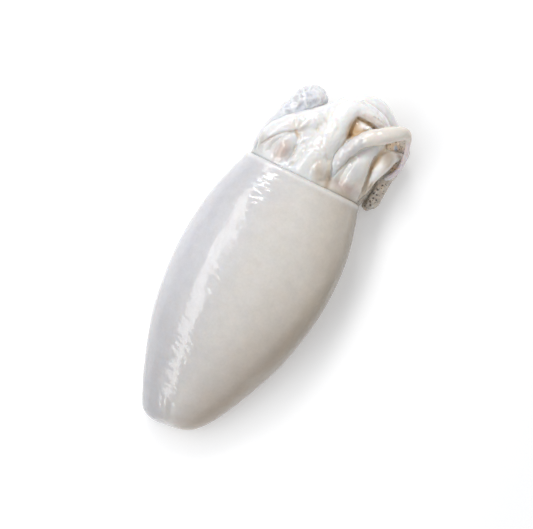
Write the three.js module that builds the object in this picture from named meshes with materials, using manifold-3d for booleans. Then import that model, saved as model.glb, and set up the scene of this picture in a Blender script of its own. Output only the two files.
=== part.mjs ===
// A whole raw squid, cleaned and skinned. The short, broad body lies on its belly, and the head with its
// ten folded limbs sits in the mouth of the body, where it is tucked back after cleaning.
// Millimetres, +Z up, +Y from the tail to the limbs. The origin is on the table, in the middle of the
// belly's flat.
import * as THREE from "three";
import { mergeVertices } from "three/addons/utils/BufferGeometryUtils.js";
import Module from "manifold-3d";

// The body, a flattened bag of flesh from the tail's tip to the cut rim.
const BODY_LENGTH = 161;
const BODY_WIDTH = 90.7;
const BODY_HEIGHT = 46;
const BELLY_SHARE = 0.44; // of the height, below the widest line
const BACK_ROUNDNESS = 2.15; // exponents of the section above and below the widest line
const BELLY_ROUNDNESS = 2.7;
const HEIGHT_POWER = 0.85; // the section gets rounder as the body narrows
const SETTLE = 0.9; // how far the soft belly is pressed flat by the table
const TAIL_LIFT = 3;
const TAIL_LIFT_SHARE = 0.2;
const TAIL_BEND = 9; // the tail swings to the left of the rim's middle
const BEND_POWER = 1.4;
const RIM_LEAN = 2.6; // the rim's top stands back from its foot
const LEAN_POWER = 8; // the lean fades away quickly behind the rim
const LIP_ROUNDING = 1.1;

// Half of the body's outline from above: share of the length, share of the half width.
const OUTLINE = [
  [0, 0], [0.002, 0.1], [0.01, 0.215], [0.035, 0.36], [0.106, 0.53], [0.25, 0.745],
  [0.39, 0.9], [0.6, 1], [0.81, 0.957], [1, 0.776],
];

// The mouth, a socket as deep as the head's stump.
const MOUTH_DEPTH = 42;
const LIP_THICKNESS = 2.6;
const WALL_THICKNESS = 6.5;
const WALL_REACH = 26; // the wall thins to the lip over this length
const CLEARANCE = 0.4;
const STUMP_FRONT = 9; // the stump's rounded front stands out of the mouth by this much
const STUMP_ROUNDING = 0.75;
const COLLAR = 16; // how far round the mouth the limbs are kept back to the rim

// The limbs, each a route of [across, out, up, half thickness]: across from the rim's middle, out from
// the rim.
const LIMBS = {
  left_edge: [
    [-25.9, -14.3, 15, 4.8], [-30.4, 1.4, 18, 4.6], [-29.7, 10.9, 20, 4.5], [-27.6, 19.8, 21.5, 4.8],
    [-24, 27.6, 21.5, 5.8], [-20.4, 34.6, 20, 6.6], [-17.2, 40.4, 18, 7.2], [-14.2, 44.3, 16, 6.2],
    [-11.3, 44.6, 13, 4.2],
  ],
  left_diagonal: [
    [-22.8, -14.5, 20, 5.4], [-27.6, 4.9, 23.6, 5.1], [-26, 13.9, 26, 6], [-20.9, 20.4, 27.2, 6.8],
    [-13.4, 26.5, 27.8, 7.2], [-5.2, 33.3, 27.4, 7.4], [1.2, 40.4, 26, 6.6], [6.9, 46.2, 23, 5.3],
    [13.6, 47.2, 20, 4.5], [19, 43.5, 16.6, 3.1],
  ],
  left_bulge: [
    [-14.2, -14.5, 20, 6.8], [-17.4, 3.8, 25.4, 6.7], [-16.8, 10.4, 27, 6.4], [-15.1, 16, 27.4, 5.9],
    [-11.2, 20.5, 26.4, 5.6], [-5.1, 23.6, 23, 4.2],
  ],
  central: [
    [-1.2, -14.5, 20, 10.7], [-0.9, 3.8, 25.6, 12.1], [0.5, 13.7, 27.6, 10.9], [3.1, 24.8, 29.2, 9.2],
    [4.7, 35.3, 30.4, 7.8], [6.4, 42.5, 30.4, 6.7], [9.5, 46.9, 30, 5.6], [14, 47.9, 29.4, 4.8],
    [19.6, 47.6, 28.4, 4.6], [25.3, 45.9, 26.5, 4.4], [31, 42.5, 23.5, 3.6],
  ],
  top_loop: [
    [-4, -14.2, 14, 6.8], [-3.5, 9, 15, 7.7], [-0.6, 28.2, 16.6, 7.9], [3.4, 42.6, 19, 7.3],
    [7.9, 49.5, 21, 6.2], [13.5, 52.7, 22, 5.4], [20.3, 53.1, 21.4, 5.2], [27.1, 50.3, 19, 4.9],
    [33.4, 45.8, 15.6, 4.5], [38.1, 40, 12, 4], [38.8, 32.8, 9, 3],
  ],
  long_tentacle: [
    [13.2, -14.7, 20, 2.4], [13.1, 2.4, 26, 2.4], [12.9, 7.2, 29.6, 2.6], [12.5, 11.3, 31.4, 3],
    [13.1, 14.5, 32.4, 3.5], [14, 18.6, 33, 3.9], [16.3, 24.4, 34.2, 4], [20.1, 31, 35.6, 4.3],
    [23.8, 34.7, 36.4, 4.7], [27.8, 37.4, 36.6, 4.8], [31.8, 40.4, 36.2, 4.6], [35.6, 43.2, 35, 4.3],
    [39.2, 45.2, 33.2, 3.7], [42.3, 44.6, 30.6, 2.7], [44.4, 41.2, 27.2, 2.1], [45.9, 36.5, 23.4, 2],
    [46.7, 31.3, 19.8, 2], [46.2, 27, 17.4, 2], [44.3, 22.8, 16, 2], [42.3, 20.1, 15.2, 1.9],
  ],
  right_bulge: [
    [23.2, -14.4, 16, 8], [24.2, -0.5, 19, 9.4], [24.1, 7.2, 23, 9.3], [24.3, 13.8, 26.5, 8.2],
    [24.9, 19.3, 27.6, 6.8], [26, 24.8, 27, 5.4], [27.4, 29.2, 25.4, 4.6], [28.5, 33.8, 23.5, 4],
    [27.5, 38.6, 21, 3.4], [23.1, 41.2, 19, 3],
  ],
  right_fold: [
    [31.8, -13.7, 14, 4], [35, -1.3, 16.4, 2.8], [35, 4.3, 18, 2.8], [34.8, 9.8, 19.6, 2.7],
    [34.8, 14.8, 21.2, 3], [35.2, 19.8, 22.2, 3.8], [36.2, 24.8, 22.8, 4.3], [38.3, 29.5, 22.6, 4.2],
    [40.9, 32.8, 21, 3.4], [43.2, 34.8, 18.6, 2.4],
  ],
  underside: [
    [-10.9, -14.1, 11, 5.7], [-16.1, 6.6, 8, 6.5], [-16.7, 20.4, 7, 6.7], [-11, 33.1, 6.4, 6.3],
    [-0.1, 40.5, 6.4, 5.7], [11.4, 44, 6.6, 5.1], [21.1, 41.6, 6.8, 4.3], [26.9, 34.8, 6, 3],
  ],
};
// The tenth limb folds back outside the rim's right corner.
const FOLDED_BACK_LIMB = [
  [25.6, -14.1, 11, 5.5], [31.6, 8.1, 11.6, 5.9], [34.7, 20.6, 12.4, 6], [35.7, 31.8, 14.2, 6.2],
  [38.8, 38.2, 15.8, 6], [42.3, 38.5, 14.8, 5], [44.1, 33.1, 12.8, 4], [43, 25.8, 11.4, 4],
  [41.4, 18.4, 10.6, 4.3], [40.9, 11.1, 9.6, 4.7], [40.3, 4.9, 8.6, 4.5], [39.6, 2.6, 8, 3.2],
];

// The head's own bulges between the limbs' roots: [across, out, up] and half sizes.
const HEAD_BULGES = [
  { place: [7, 13, 14.6], halfSize: [26, 31, 12.6] },
  { place: [-23.6, 8, 18], halfSize: [7.6, 15, 8.4] },
  { place: [14.5, 14, 21], halfSize: [6.5, 17, 9.5] },
  { place: [15.5, 37.5, 22], halfSize: [9, 8, 10] },
  { place: [31.8, 27, 18], halfSize: [4.5, 12, 8] },
];

// Fineness of the faceted solids.
const BODY_SIDES = 48;
const BODY_RINGS = 36;
const TAIL_CROWDING = 1.8; // the rings stand closer toward the tail's tip
const SOCKET_RINGS = 10;
const SOCKET_BLUNTNESS = 0.7;
const BULGE_SIDES = 24;
const CAP_RINGS = 3;
const ringSpacing = (thickest) => 1.9 + 0.34 * thickest;
const limbSides = (thickest) => 2 * Math.round(4.2 + 0.3 * thickest);

const flesh = new THREE.MeshStandardMaterial({ color: 0xded9d2, roughness: 0.3, metalness: 0 });
const limbFlesh = new THREE.MeshStandardMaterial({ color: 0xe6e2dc, roughness: 0.28, metalness: 0 });

const wasm = await Module();
wasm.setup();

// A closed three.js geometry as a solid that can be joined and cut.
function toSolid(geometry) {
  const bare = geometry.clone();
  bare.deleteAttribute("normal");
  bare.deleteAttribute("uv");
  const merged = mergeVertices(bare, 1e-4);
  return new wasm.Manifold(new wasm.Mesh({
    numProp: 3,
    vertProperties: merged.attributes.position.array,
    triVerts: new Uint32Array(merged.index.array),
  }));
}

// A joined or cut solid as a three.js geometry with flat faces.
function toGeometry(solid) {
  const mesh = solid.getMesh();
  const geometry = new THREE.BufferGeometry();
  geometry.setAttribute("position", new THREE.BufferAttribute(mesh.vertProperties, 3));
  geometry.setIndex(new THREE.BufferAttribute(mesh.triVerts, 1));
  const faceted = geometry.toNonIndexed();
  faceted.computeVertexNormals();
  return faceted;
}

const outlineCurve = new THREE.SplineCurve(
  OUTLINE.map(([along, share]) => new THREE.Vector2(along, share)));
const outlinePoints = outlineCurve.getPoints(400);

// The body's share of its full width at a share of its length from the tail.
function widthShare(along) {
  const clamped = THREE.MathUtils.clamp(along, 0, 1);
  const next = Math.max(1, outlinePoints.findIndex((p) => p.x >= clamped));
  const [a, b] = [outlinePoints[next - 1], outlinePoints[next]];
  return THREE.MathUtils.mapLinear(clamped, a.x, b.x, a.y, b.y);
}

// The section's middle and half sizes at a share of the length, drawn in by an inset.
function section(along, inset) {
  const share = widthShare(along);
  const height = BODY_HEIGHT * share ** HEIGHT_POWER;
  const lift = TAIL_LIFT * Math.max(0, 1 - along / TAIL_LIFT_SHARE) ** 2;
  return {
    x: TAIL_BEND * (0.5 ** BEND_POWER - Math.max(0, 1 - along) ** BEND_POWER),
    z: height * BELLY_SHARE - SETTLE + lift,
    halfWidth: Math.max(0, (BODY_WIDTH / 2) * share - inset),
    back: Math.max(0, height * (1 - BELLY_SHARE) - inset),
    belly: Math.max(0, height * BELLY_SHARE - inset),
  };
}

const rim = section(1, 0);

// Bends a turned blank into the body's form. The blank's profile holds [part of the section, share of
// the length].
function bodyBlank(profile, insetAt) {
  const points = profile.map(([part, along]) => new THREE.Vector2(part, along));
  const blank = new THREE.LatheGeometry(points, BODY_SIDES);
  const position = blank.attributes.position;
  for (let i = 0; i < position.count; i += 1) {
    const along = position.getY(i);
    const part = Math.hypot(position.getX(i), position.getZ(i));
    const angle = Math.atan2(position.getZ(i), position.getX(i));
    const inset = insetAt(along);
    const s = section(along, inset);
    const roundness = Math.sin(angle) > 0 ? BACK_ROUNDNESS : BELLY_ROUNDNESS;
    const rise = Math.sin(angle) > 0 ? s.back : s.belly;
    const curve = (value) => Math.sign(value) * Math.abs(value) ** (2 / roundness);
    const x = s.x + part * s.halfWidth * curve(Math.cos(angle));
    const z = Math.max(s.z + part * rise * curve(Math.sin(angle)), inset);
    const lean = RIM_LEAN * ((rim.z - z) / BODY_HEIGHT) * Math.max(0, along) ** LEAN_POWER;
    position.setXYZ(i, x, BODY_LENGTH * (along - 0.5) + lean, z);
  }
  return toSolid(blank);
}

// The body's outside, grown all round by a margin and ending a little past the rim, with the lip's edge
// rounded.
function bodyOutside(margin, past) {
  const end = 1 + past / BODY_LENGTH;
  const straight = end - LIP_ROUNDING / BODY_LENGTH;
  const halfWay = end - (0.3 * LIP_ROUNDING) / BODY_LENGTH;
  const profile = [[0, 0]];
  for (let i = 1; i <= BODY_RINGS; i += 1) {
    profile.push([1, straight * (i / BODY_RINGS) ** TAIL_CROWDING]);
  }
  profile.push([1 - (0.3 * LIP_ROUNDING) / rim.back, halfWay]);
  profile.push([1 - LIP_ROUNDING / rim.back, end]);
  profile.push([0, end]);
  return bodyBlank(profile, () => -margin);
}

// Wall thickness at a share of the length: thin at the lip, full a little further in.
function wallAt(along) {
  const inward = THREE.MathUtils.clamp(((1 - along) * BODY_LENGTH) / WALL_REACH, 0, 1);
  return THREE.MathUtils.lerp(LIP_THICKNESS, WALL_THICKNESS, Math.sin((inward * Math.PI) / 2));
}

// What fills the mouth: with no margin the socket itself, with one the stump that sits in it.
// It ends this far in front of the rim, its front edge drawn in by a share of the section.
function mouthFilling(margin, front, drawnIn) {
  const profile = [];
  for (let i = 0; i <= SOCKET_RINGS; i += 1) {
    const turn = (i / SOCKET_RINGS) * (Math.PI / 2);
    const inward = (MOUTH_DEPTH - margin) * Math.cos(turn);
    profile.push([Math.sin(turn) ** SOCKET_BLUNTNESS, 1 - inward / BODY_LENGTH]);
  }
  const frontRings = SOCKET_RINGS / 2;
  for (let i = 1; i <= frontRings; i += 1) {
    const turn = (i / frontRings) * (Math.PI / 2);
    profile.push([1 - drawnIn * (1 - Math.cos(turn)), 1 + (front * Math.sin(turn)) / BODY_LENGTH]);
  }
  profile.push([0, 1 + front / BODY_LENGTH]);
  return bodyBlank(profile, (along) => wallAt(along) + margin);
}

// A round limb along a route of [across, out, up, half thickness], with rounded ends.
function limb(route) {
  const points = route.map(
    ([across, out, up]) => new THREE.Vector3(rim.x + across, BODY_LENGTH / 2 + out, up));
  const path = new THREE.CatmullRomCurve3(points, false, "centripetal");
  const girth = new THREE.SplineCurve(
    route.map(([, , , half], i) => new THREE.Vector2(i / (route.length - 1), half)));
  const length = path.getLength();
  const thickest = Math.max(...route.map(([, , , half]) => half));
  const rootCap = route[0][3] / length;
  const tipCap = route.at(-1)[3] / length;

  // The blank is a rod of unit half thickness and unit length, round at both ends.
  const profile = [];
  for (let i = 0; i < CAP_RINGS; i += 1) {
    const turn = (i / CAP_RINGS) * (Math.PI / 2);
    profile.push(new THREE.Vector2(Math.sin(turn), rootCap * (1 - Math.cos(turn))));
  }
  const middleRings = Math.round(length / ringSpacing(thickest));
  for (let i = 0; i <= middleRings; i += 1) {
    profile.push(new THREE.Vector2(1, THREE.MathUtils.lerp(rootCap, 1 - tipCap, i / middleRings)));
  }
  for (let i = CAP_RINGS - 1; i >= 0; i -= 1) {
    const turn = (i / CAP_RINGS) * (Math.PI / 2);
    profile.push(new THREE.Vector2(Math.sin(turn), 1 - tipCap * (1 - Math.cos(turn))));
  }
  const blank = new THREE.LatheGeometry(profile, limbSides(thickest));

  // Each ring of the rod is set square to the route, without twist.
  let side = new THREE.Vector3(0, 0, 1);
  const rings = profile.map((point) => {
    const t = path.getUtoTmapping(THREE.MathUtils.clamp(point.y, 0, 1));
    const tangent = path.getTangent(t);
    side = side.clone().addScaledVector(tangent, -side.dot(tangent)).normalize();
    return {
      centre: path.getPoint(t),
      half: girth.getPoint(t).y,
      side,
      other: new THREE.Vector3().crossVectors(side, tangent),
    };
  });
  const position = blank.attributes.position;
  const place = new THREE.Vector3();
  for (let i = 0; i < position.count; i += 1) {
    const ring = rings[i % profile.length];
    place.copy(ring.centre)
      .addScaledVector(ring.side, ring.half * position.getX(i))
      .addScaledVector(ring.other, ring.half * position.getZ(i));
    position.setXYZ(i, place.x, place.y, Math.max(place.z, 0));
  }
  return toSolid(blank);
}

// A rounded bulge of the head.
function headBulge({ place, halfSize }) {
  const ball = new THREE.SphereGeometry(1, BULGE_SIDES, BULGE_SIDES / 2);
  ball.scale(...halfSize);
  ball.translate(rim.x + place[0], BODY_LENGTH / 2 + place[1], place[2]);
  return toSolid(ball);
}

// The largest shell of a solid: pockets closed in between the limbs are filled, and loose crumbs are
// dropped.
function outerShell(solid) {
  return solid.decompose().reduce(
    (largest, shell) => (shell.volume() > largest.volume() ? shell : largest));
}

// The body: its outside with the mouth's socket cut in.
function makeBody() {
  const socket = mouthFilling(0, LIP_ROUNDING * 3, 0);
  return bodyOutside(0, 0).subtract(socket);
}

// The head's stump, its bulges and the ten limbs as one piece, cut clear of the body's wall.
function makeHead() {
  const clearMouth = mouthFilling(CLEARANCE, LIP_ROUNDING * 3, 0);
  let head = mouthFilling(CLEARANCE * 1.5, STUMP_FRONT, STUMP_ROUNDING);
  for (const bulge of HEAD_BULGES) {
    head = head.add(headBulge(bulge));
  }
  for (const route of Object.values(LIMBS)) {
    head = head.add(limb(route));
  }
  head = head.subtract(bodyOutside(COLLAR, CLEARANCE).subtract(clearMouth));
  const bodyWall = bodyOutside(CLEARANCE, CLEARANCE).subtract(clearMouth);
  const foldedBack = limb(FOLDED_BACK_LIMB).subtract(bodyWall);
  return outerShell(head.add(foldedBack));
}

const squid = new THREE.Group();

const body = new THREE.Mesh(toGeometry(makeBody()), flesh);
body.name = "body_tube";
squid.add(body);

const head = new THREE.Mesh(toGeometry(makeHead()), limbFlesh);
head.name = "head_and_limbs";
squid.add(head);

export default squid;
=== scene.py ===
from math import atan2, copysign, cos, hypot, pi, radians, sin

import bpy
import numpy as np
from mathutils import Matrix, Vector, noise


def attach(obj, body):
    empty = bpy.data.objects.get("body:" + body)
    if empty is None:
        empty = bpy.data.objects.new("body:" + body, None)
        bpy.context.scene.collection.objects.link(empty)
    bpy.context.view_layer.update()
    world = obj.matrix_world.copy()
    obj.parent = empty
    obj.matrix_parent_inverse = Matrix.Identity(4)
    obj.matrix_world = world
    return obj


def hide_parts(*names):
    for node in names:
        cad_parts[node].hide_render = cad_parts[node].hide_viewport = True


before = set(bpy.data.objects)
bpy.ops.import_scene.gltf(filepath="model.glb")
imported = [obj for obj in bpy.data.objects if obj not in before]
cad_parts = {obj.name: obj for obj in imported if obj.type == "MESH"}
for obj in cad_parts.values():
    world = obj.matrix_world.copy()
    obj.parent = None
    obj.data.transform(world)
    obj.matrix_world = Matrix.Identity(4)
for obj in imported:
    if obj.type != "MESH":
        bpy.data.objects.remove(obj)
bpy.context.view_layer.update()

mm = 0.001


# CAMERA, TABLE AND LIGHT. The squid lies on a white table and is looked at from straight above, turned so
# that its limbs point up and to the right. A long light on its left makes the highlight, a smaller lamp
# beyond the limbs makes their glints, and a pale room, brightest overhead, lights the rest softly.
photo_turn = radians(26)
camera_height, sensor_width = 900 * mm, 36
frame_width = 300.3 * mm
frame_middle = Vector((6.0, 27.1, 22)) * mm
table_size, table_colour, table_roughness, table_glow = 12, (0.9, 0.9, 0.9, 1), 0.6, 0.18
strip_place, strip_turn, strip_power = Vector((-0.51, -0.16, 0.74)), radians(11), 6.8
strip_width, strip_length = 250 * mm, 1950 * mm
room_colour, room_dimmest, room_brightest = (0.97, 0.98, 1, 1), 0.33, 0.75
brightest_side, room_falloff = Vector((0.08, 0.5, 0.85)), 2
head_lamp_place, head_lamp_size, head_lamp_power = Vector((-0.56, 0.92, 0.9)), 320 * mm, 4.0

bpy.ops.object.camera_add(location=frame_middle + Vector((0, 0, camera_height)),
                          rotation=(0, 0, photo_turn))
camera = bpy.context.object
camera.data.sensor_width = sensor_width
camera.data.lens = sensor_width * camera_height / frame_width
bpy.context.scene.camera = camera
bpy.context.scene.view_settings.view_transform = "Standard"

bpy.ops.mesh.primitive_plane_add(size=table_size)
table = bpy.context.object
table.name = "table"
table_white = bpy.data.materials.new("table white")
table_white.use_nodes = True
table_surface = table_white.node_tree.nodes["Principled BSDF"]
table_surface.inputs["Base Color"].default_value = table_colour
table_surface.inputs["Roughness"].default_value = table_roughness
table_surface.inputs["Emission Color"].default_value = (1, 1, 1, 1)
table_surface.inputs["Emission Strength"].default_value = table_glow
table.data.materials.append(table_white)

strip_aim = (strip_place - frame_middle).normalized()
strip_across = Vector((-sin(strip_turn), cos(strip_turn), 0)).cross(strip_aim).normalized()
bpy.ops.object.light_add(type="AREA", location=strip_place)
strip_light = bpy.context.object
strip_light.name = "strip_light"
strip_axes = Matrix((strip_across, strip_aim.cross(strip_across), strip_aim)).transposed()
strip_light.rotation_euler = strip_axes.to_euler()
strip_light.data.shape = "RECTANGLE"
strip_light.data.size, strip_light.data.size_y = strip_width, strip_length
strip_light.data.energy = strip_power

bpy.ops.object.light_add(type="AREA", location=head_lamp_place)
head_lamp = bpy.context.object
head_lamp.name = "head_lamp"
head_lamp.rotation_euler = (head_lamp_place - frame_middle).to_track_quat("Z", "Y").to_euler()
head_lamp.data.size = head_lamp_size
head_lamp.data.energy = head_lamp_power

room = bpy.data.worlds.new("pale room")
room.use_nodes = True
room_nodes, room_links = room.node_tree.nodes, room.node_tree.links
room_side = room_nodes.new("ShaderNodeTexCoord").outputs["Generated"]
facing = room_nodes.new("ShaderNodeVectorMath")
facing.operation = "DOT_PRODUCT"
facing.inputs[1].default_value = brightest_side.normalized()
room_links.new(room_side, facing.inputs[0])
brightening = room_nodes.new("ShaderNodeMath")
brightening.operation = "POWER"
brightening.use_clamp = True
brightening.inputs[1].default_value = room_falloff
room_links.new(facing.outputs["Value"], brightening.inputs[0])
room_level = room_nodes.new("ShaderNodeMapRange")
room_level.inputs["To Min"].default_value = room_dimmest
room_level.inputs["To Max"].default_value = room_brightest
room_links.new(brightening.outputs[0], room_level.inputs["Value"])
room_nodes["Background"].inputs["Color"].default_value = room_colour
room_links.new(room_level.outputs[0], room_nodes["Background"].inputs["Strength"])
bpy.context.scene.world = room


# THE BODY. The squid's mantle: a skinned, muscular bag, closed and rounded at the tail and cut open at
# the rim, where the wall thins to a lip. It is drawn out ring by ring from the tail, then folded over the
# lip into the mouth.
body_length = 161 * mm
body_width = 90.7 * mm
body_height = 46 * mm
belly_share = 0.44
back_roundness, belly_roundness = 2.15, 2.7
height_power = 0.85
settle = 0.9 * mm
tail_lift, tail_lift_share = 3 * mm, 0.2
tail_bend, bend_power = 9 * mm, 1.4
rim_lean, lean_power = 2.6 * mm, 8
lip_rounding, lip_bead = 1.3 * mm, 0.6 * mm
lip_thickness = 2.6 * mm
wall_thickness, wall_reach = 6.5 * mm, 26 * mm
mouth_depth = 42 * mm
# The outline's points are (share of the length from the tail, share of the greatest half width).
body_outline = [(0, 0), (0.002, 0.1), (0.01, 0.215), (0.035, 0.36), (0.106, 0.53), (0.25, 0.745),
                (0.39, 0.9), (0.6, 1), (0.81, 0.957), (1, 0.776)]
body_sides, outer_rings, ring_crowding = 48, 42, 1.8
mouth_rings, mouth_squareness, mouth_end = 10, 6, 0.12
skin_levels = 2


def line_through(points, steps=40):
    """A smooth line through points, as dense arrays of x and y."""
    p = [points[0]] + list(points) + [points[-1]]
    line = []
    for i in range(1, len(p) - 2):
        a, b, c, d = (np.array(q) for q in p[i - 1:i + 3])
        for t in np.linspace(0, 1, steps, endpoint=False):
            bend = (2 * a - 5 * b + 4 * c - d) * t**2 + (3 * b - a - 3 * c + d) * t**3
            line.append(b + 0.5 * ((c - a) * t + bend))
    line.append(np.array(points[-1]))
    return np.array(line).T


outline_along, outline_share = line_through(body_outline)


def body_section(along):
    """The middle, half width and heights above and below the middle, at a share of the body's length."""
    share = float(np.interp(along, outline_along, outline_share))
    height = body_height * share**height_power
    lift = tail_lift * max(0, 1 - along / tail_lift_share)**2
    middle_x = tail_bend * (0.5**bend_power - max(0, 1 - along)**bend_power)
    middle_z = height * belly_share - settle + lift
    return middle_x, middle_z, body_width / 2 * share, height * (1 - belly_share), height * belly_share


rim_x, rim_z, rim_half_width, rim_back, rim_belly = body_section(1)
rim_y = body_length / 2


def wall_at(inward):
    """Thickness of the body's wall at a depth inside the mouth."""
    return lip_thickness + (wall_thickness - lip_thickness) * sin(min(1, inward / wall_reach) * pi / 2)


# Each ring is (share of the length, share of the section): up the outside, round the lip, and down inside
# the mouth.
lip_start = 1 - lip_rounding / body_length
rings = [((i / outer_rings)**ring_crowding * lip_start, 1.0) for i in range(1, outer_rings + 1)]
rings += [(1 - 0.4 * lip_rounding / body_length, 1 - 0.2 * lip_rounding / rim_back),
          (1.0, 1 - 0.8 * lip_rounding / rim_back),
          (1.0, 1 - (lip_thickness - 0.7 * lip_rounding) / rim_back),
          (1 - 0.5 * lip_rounding / body_length, 1 - lip_thickness / rim_back)]
for i in range(1, mouth_rings + 1):
    inward = i / mouth_rings * mouth_depth
    along = 1 - inward / body_length
    closing = (1 - (i / mouth_rings)**mouth_squareness)**0.5 if i < mouth_rings else mouth_end
    rings.append((along, (1 - wall_at(inward) / body_section(along)[3]) * closing))

bpy.ops.object.select_all(action="DESELECT")
tip_x, tip_z = body_section(rings[0][0])[:2]
place = Vector((tip_x, body_length * (rings[0][0] - 0.5), tip_z))
bpy.ops.mesh.primitive_circle_add(vertices=body_sides, radius=1, fill_type="TRIFAN", location=place,
                                  rotation=(pi / 2, 0, 0))
body = bpy.context.object
body.name = "squid_body"
bpy.ops.object.transform_apply(location=True, rotation=True)
bpy.ops.object.mode_set(mode="EDIT")
bpy.ops.mesh.select_all(action="SELECT")
width, height = 1.0, 1.0
for along, part in rings:
    x, z, half_width, back, belly = body_section(along)
    step = Vector((x, body_length * (along - 0.5), z)) - place
    if along != rings[0][0]:
        bpy.ops.mesh.extrude_region_move(TRANSFORM_OT_translate={"value": step})
    place += step
    wide, high = half_width * part, (back + belly) / 2 * part
    bpy.ops.transform.resize(value=(wide / width, 1, high / height), center_override=place)
    width, height = wide, high
bpy.ops.mesh.select_all(action="SELECT")
bpy.ops.mesh.normals_make_consistent(inside=False)
bpy.ops.object.mode_set(mode="OBJECT")


def curved(value, roundness):
    """A sine or cosine bent so that it draws a fuller or flatter oval than a circle does."""
    return copysign(abs(value)**(2 / roundness), value)


# The round rings are pressed into the body's real section, arched on the back and flat where the belly
# rests.
for v in body.data.vertices:
    along = v.co.y / body_length + 0.5
    x, z, half_width, back, belly = body_section(along)
    across, up = (v.co.x - x) / half_width, (v.co.z - z) / ((back + belly) / 2)
    part, angle = hypot(across, up), atan2(up, across)
    roundness, rise = (back_roundness, back) if up > 0 else (belly_roundness, belly)
    v.co.x = x + part * half_width * curved(cos(angle), roundness)
    v.co.z = max(z + part * rise * curved(sin(angle), roundness), (1 - part) * belly)
    v.co.y += rim_lean * (rim_z - v.co.z) / body_height * max(0, along)**lean_power

rounding = body.modifiers.new("rounding", "SUBSURF")
rounding.levels = rounding.render_levels = skin_levels
bpy.ops.object.modifier_apply(modifier=rounding.name)
bpy.ops.object.shade_smooth()


def corners_of(piece):
    """The mesh points of a piece and their normals, as arrays."""
    count = len(piece.data.vertices)
    places, normals = np.empty(count * 3), np.empty(count * 3)
    piece.data.vertices.foreach_get("co", places)
    piece.data.vertices.foreach_get("normal", normals)
    return places.reshape(-1, 3), normals.reshape(-1, 3)


def move_corners(piece, places):
    """Puts the mesh points of a piece at new places."""
    piece.data.vertices.foreach_set("co", places.ravel())
    piece.data.update()


def mottle(places, size, seed=0.0):
    """Soft random unevenness between -1 and 1, in patches of about a size in millimetres by axis."""
    scale = 1 / (np.array(size) * mm)
    return np.array([noise.noise(Vector(p)) for p in places * scale + seed])


rim_in_view = 80


def seen(places):
    """Where points appear from straight above, in millimetres: across from the middle, out from the rim."""
    shrink = camera_height / (camera_height + frame_middle.z - places[:, 2])
    across = frame_middle.x + (places[:, 0] - frame_middle.x) * shrink
    out = frame_middle.y + (places[:, 1] - frame_middle.y) * shrink
    return np.stack([across / mm, out / mm - rim_in_view], axis=1)


def stroke(spots, path, width, sharp=1.0, fade=0.3):
    """How much of a stroke along a path reaches each spot, from 0 to 1, thinning towards its ends."""
    path = np.array(path)
    lengths = np.hypot(*(path[1:] - path[:-1]).T)
    total = max(lengths.sum(), 1e-6)
    nearest, at = np.full(len(spots), 1e9), np.zeros(len(spots))
    run = 0
    for a, b, length in zip(path, path[1:], lengths):
        t = np.clip((spots - a) @ (b - a) / length**2, 0, 1)
        gap = np.hypot(*(spots - a - t[:, None] * (b - a)).T)
        closer = gap < nearest
        nearest[closer] = gap[closer]
        at[closer] = (run + t[closer] * length) / total
        run += length
    thin = 1 - fade + fade * np.sin(at * pi)**0.7
    touch = np.clip(1 - nearest / (width * thin), 0, 1)
    return thin * (touch * touch * (3 - 2 * touch))**sharp


def dab(spots, place, size, turn=0.0):
    """How much of a round or oval dab reaches each spot, from 0 to 1."""
    across, out = (spots - np.array(place)).T
    c, s = cos(turn), sin(turn)
    away = np.hypot((across * c + out * s) / size[0], (out * c - across * s) / size[1])
    touch = np.clip(1 - away, 0, 1)
    return touch * touch * (3 - 2 * touch)


# Work on the body, in millimetres: the lip is rolled into a thin uneven bead with a shallow dip
# behind it, the back gets its slight unevenness, and the tail its creases and its fullness on the left.
bead_place, bead_width = 1.6, 1.4
dip_place, dip_width, dip_depth = 5, 2.2, 0.25
bead_patches, even_behind_rim = (9, 9, 9), 8
back_waves = [((22, 30, 22), 0.35, 3.3), ((8, 12, 8), 0.14, 7.7)]
fullness_place, fullness_size, fullness_height = (-17.5, -156.6), (18, 14), 2.0
places, normals = corners_of(body)
spots = seen(places)
top = np.clip(normals[:, 2] * 2, 0, 1)
behind_rim = (rim_y - places[:, 1] + rim_lean * (rim_z - places[:, 2]) / body_height) / mm
from_middle = np.hypot((places[:, 0] - rim_x) / rim_half_width, (places[:, 2] - rim_z) / rim_back)
outside = np.clip((from_middle - 0.9) * 20, 0, 1)
bead = np.exp(-((behind_rim - bead_place) / bead_width)**2) * outside
push = bead * lip_bead * (0.75 + 0.5 * mottle(places, bead_patches))
push -= np.exp(-((behind_rim - dip_place) / dip_width)**2) * outside * dip_depth * mm
back_unevenness = sum(height * mottle(places, size, seed) for size, height, seed in back_waves)
push += back_unevenness * mm * top * np.clip(behind_rim / even_behind_rim, 0, 1)
# Each crease or faint line is a path, its width, and its height or depth.
body_creases = [
    ([(-7.9, -147.6), (-6.8, -151.0), (-5.1, -154.9), (-3.4, -159.4)], 3.6, -0.25),
    ([(-12.4, -145.4), (-9.6, -149.9), (-6.8, -154.9)], 2.6, 0.35),
    ([(-25.4, -143.1), (-22.5, -149.9), (-18.6, -155.5)], 2.5, -0.25),
    ([(-17.5, -51.8), (-11.8, -47.3), (-3.9, -44.5)], 1.2, -0.12),
    ([(-20.3, -30.4), (-8.5, -30.4), (2.8, -31.0)], 1.2, -0.1),
    ([(-21.4, -59.7), (-16.3, -62.0), (-10.1, -62.0)], 1.2, 0.12),
    ([(-20.8, -64.2), (-16.3, -64.8), (-11.3, -65.9)], 1.2, 0.12),
]
for path, wide, rise in body_creases:
    push += stroke(spots, path, wide) * rise * mm * top
tail_fullness = dab(spots, fullness_place, fullness_size) * fullness_height
push += tail_fullness * np.hypot(normals[:, 0], normals[:, 1]) * mm
move_corners(body, places + normals * push[:, None])


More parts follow.
